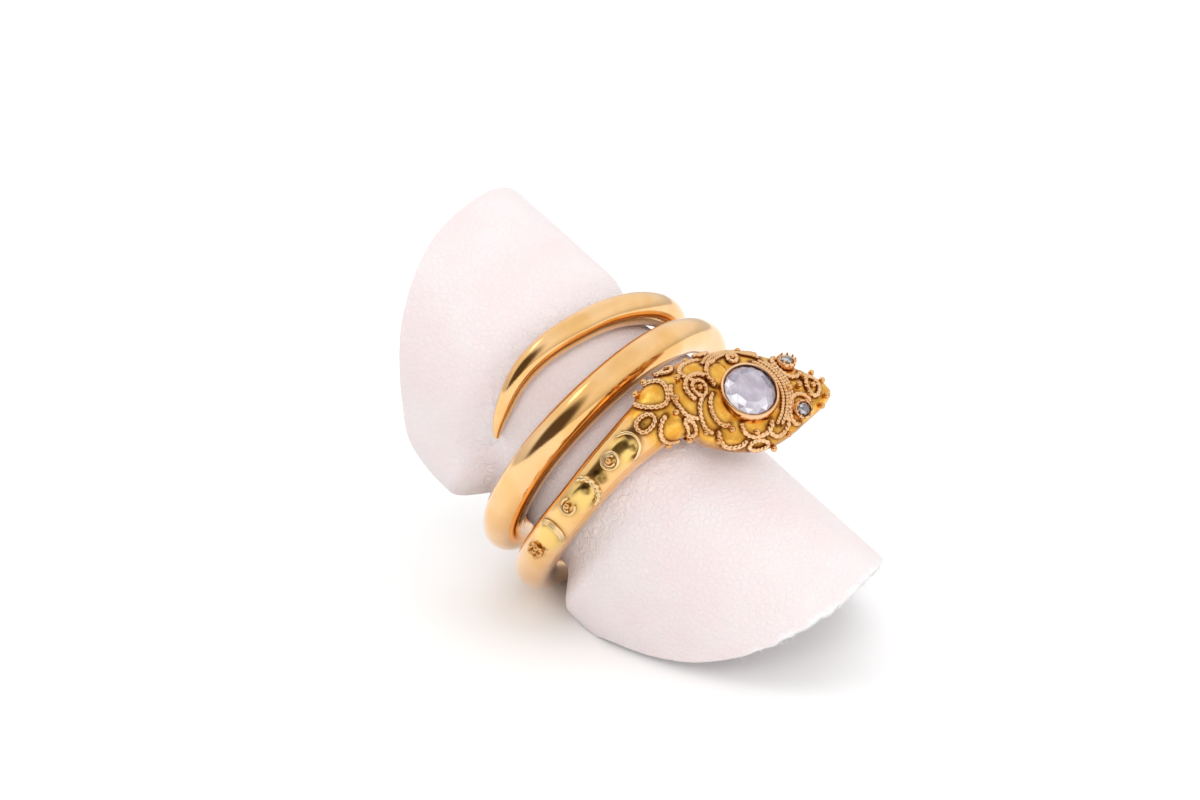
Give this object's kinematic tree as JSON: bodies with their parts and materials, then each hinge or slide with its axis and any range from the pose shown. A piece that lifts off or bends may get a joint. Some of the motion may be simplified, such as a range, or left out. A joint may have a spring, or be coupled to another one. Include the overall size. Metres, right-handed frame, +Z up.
{
  "type": "snake wrap ring on a leather roll stand",
  "caption": "Wrap ring shaped as a coiled gold snake with a granulated head, a cut crown stone and two small eye stones, worn on a leaning roll of pale leather.",
  "frame": {"origin": "centre of the ring's finger hole, midway along the coil's mean circle", "axes": "+Z up from the table the roll stands on; the finger's axis lies in the XZ plane and dips 32.3 degrees towards +X, where the snake's head is"},
  "size_m": [0.0335, 0.0236, 0.0274],
  "materials": {
    "gold": "polished yellow gold, satin between the granules",
    "crown_stone": "clear pale grey cut stone",
    "eye_stone": "dark grey rough cut stone",
    "leather": "soft matt pale pink leather with a fine grain"
  },
  "bodies": {
    "root": {"gold_snake": "gold", "crown_stone": "crown_stone", "eye_stone_left": "eye_stone", "eye_stone_right": "eye_stone", "leather_roll": "leather"}
  },
  "joints": []
}
